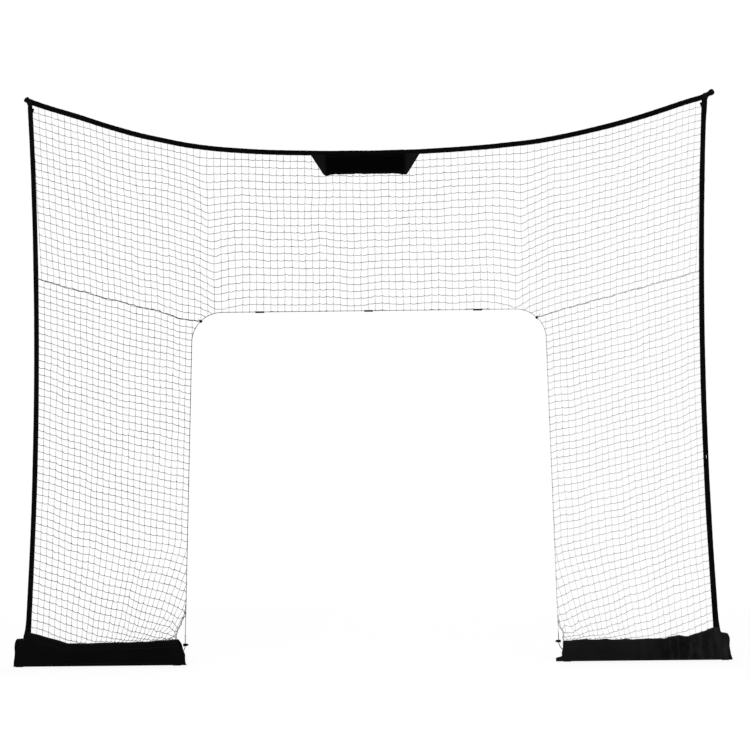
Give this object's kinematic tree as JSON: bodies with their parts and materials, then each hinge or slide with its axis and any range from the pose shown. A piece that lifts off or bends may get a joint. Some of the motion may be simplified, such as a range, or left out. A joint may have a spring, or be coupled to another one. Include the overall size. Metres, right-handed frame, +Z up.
{
  "type": "goal backstop net",
  "caption": "Wide knotted backstop net on two bowed poles with folding steel bases, a sagging top band and an opening for a goal.",
  "frame": {"origin": "on the floor, in the middle of the footprint: halfway between the two sides, and halfway between the front of the base covers and the backs of the rear feet", "axes": "+Z up, +X to the right across the net as seen from the front, +Y towards the back; the face of the net looks towards -Y"},
  "size_m": [3.9448, 0.5813, 3.1633],
  "materials": {
    "twine": "matt knotted twine",
    "webbing": "tight woven webbing",
    "cloth": "coated woven cloth with a faint sheen",
    "steel": "satin powder coat",
    "zinc": "zinc plate",
    "glass_fibre": "smooth pultruded rod",
    "rubber": "matt moulded rubber",
    "plastic": "fine moulded grain"
  },
  "bodies": {
    "net_and_bases": {"upper_net": "twine", "left_side_net": "twine", "right_side_net": "twine", "opening_border_cord": "twine", "left_seam_lacing": "twine", "right_seam_lacing": "twine", "top_band": "webbing", "center_panel": "cloth", "left_side_sleeve": "webbing", "right_side_sleeve": "webbing", "left_pole_lower": "glass_fibre", "left_pole_middle": "glass_fibre", "left_pole_upper": "glass_fibre", "right_pole_lower": "glass_fibre", "right_pole_middle": "glass_fibre", "right_pole_upper": "glass_fibre", "left_ferrule_lower": "zinc", "left_ferrule_upper": "zinc", "right_ferrule_lower": "zinc", "right_ferrule_upper": "zinc", "left_corner_fitting": "plastic", "right_corner_fitting": "plastic", "left_tip_knob": "rubber", "right_tip_knob": "rubber", "left_outer_base_tube": "steel", "right_outer_base_tube": "steel", "left_inner_base_tube": "steel", "right_inner_base_tube": "steel", "left_button_spring": "zinc", "right_button_spring": "zinc", "left_inner_foot": "rubber", "right_inner_foot": "rubber", "left_outer_foot": "rubber", "right_outer_foot": "rubber", "left_pole_socket": "steel", "right_pole_socket": "steel", "left_leg_bracket": "steel", "right_leg_bracket": "steel", "left_leg_bolt": "zinc", "right_leg_bolt": "zinc", "left_base_cover": "cloth", "right_base_cover": "cloth", "left_bungee": "twine", "right_bungee": "twine", "left_cord_lock": "plastic", "right_cord_lock": "plastic"},
    "left_leg": {"left_rear_leg": "steel", "left_leg_foot": "rubber"},
    "right_leg": {"right_rear_leg": "steel", "right_leg_foot": "rubber"},
    "left_snap": {"left_snap_button": "zinc"},
    "right_snap": {"right_snap_button": "zinc"},
    "left_lock_button": {"left_cord_lock_button": "plastic"},
    "right_lock_button": {"right_cord_lock_button": "plastic"},
    "left_corner_strap": {"left_corner_tie": "webbing"},
    "right_corner_strap": {"right_corner_tie": "webbing"},
    "left_crossbar_strap": {"left_crossbar_tie": "webbing"},
    "center_crossbar_strap": {"center_crossbar_tie": "webbing"},
    "right_crossbar_strap": {"right_crossbar_tie": "webbing"}
  },
  "joints": [
    {"name": "left_leg_fold", "type": "hinge", "parent": "net_and_bases", "child": "left_leg", "pos_m": [-1.7, -0.2171, 0.026], "axis": [0, 0, -1], "range_deg": [0, 90]},
    {"name": "right_leg_fold", "type": "hinge", "parent": "net_and_bases", "child": "right_leg", "pos_m": [1.7, -0.2171, 0.026], "axis": [0, 0, 1], "range_deg": [0, 90]},
    {"name": "left_snap_press", "type": "slide", "parent": "net_and_bases", "child": "left_snap", "axis": [0, 0, -1], "range_m": [0, 0.0066], "stiffness_N_per_m": 1500, "springref_m": -0.003, "deforming": ["left_button_spring"]},
    {"name": "right_snap_press", "type": "slide", "parent": "net_and_bases", "child": "right_snap", "axis": [0, 0, -1], "range_m": [0, 0.0066], "stiffness_N_per_m": 1500, "springref_m": -0.003, "deforming": ["right_button_spring"]},
    {"name": "left_lock_press", "type": "slide", "parent": "net_and_bases", "child": "left_lock_button", "axis": [-1, 0, 0], "range_m": [0, 0.004], "stiffness_N_per_m": 800, "springref_m": -0.003},
    {"name": "right_lock_press", "type": "slide", "parent": "net_and_bases", "child": "right_lock_button", "axis": [1, 0, 0], "range_m": [0, 0.004], "stiffness_N_per_m": 800, "springref_m": -0.003},
    {"name": "left_corner_tie_swing", "type": "hinge", "parent": "net_and_bases", "child": "left_corner_strap", "pos_m": [-0.91947, -0.14925, 1.81897], "axis": [-0.7071, -0.0438, -0.7057], "range_deg": [0, 150]},
    {"name": "right_corner_tie_swing", "type": "hinge", "parent": "net_and_bases", "child": "right_corner_strap", "pos_m": [0.91947, -0.14925, 1.81897], "axis": [-0.7071, 0.0438, 0.7057], "range_deg": [0, 150]},
    {"name": "left_crossbar_tie_swing", "type": "hinge", "parent": "net_and_bases", "child": "left_crossbar_strap", "pos_m": [-0.6, -0.14628, 1.86691], "axis": [-1, 0, 0], "range_deg": [0, 150]},
    {"name": "center_crossbar_tie_swing", "type": "hinge", "parent": "net_and_bases", "child": "center_crossbar_strap", "pos_m": [0, -0.14628, 1.86691], "axis": [-1, 0, 0], "range_deg": [0, 150]},
    {"name": "right_crossbar_tie_swing", "type": "hinge", "parent": "net_and_bases", "child": "right_crossbar_strap", "pos_m": [0.6, -0.14628, 1.86691], "axis": [-1, 0, 0], "range_deg": [0, 150]}
  ]
}
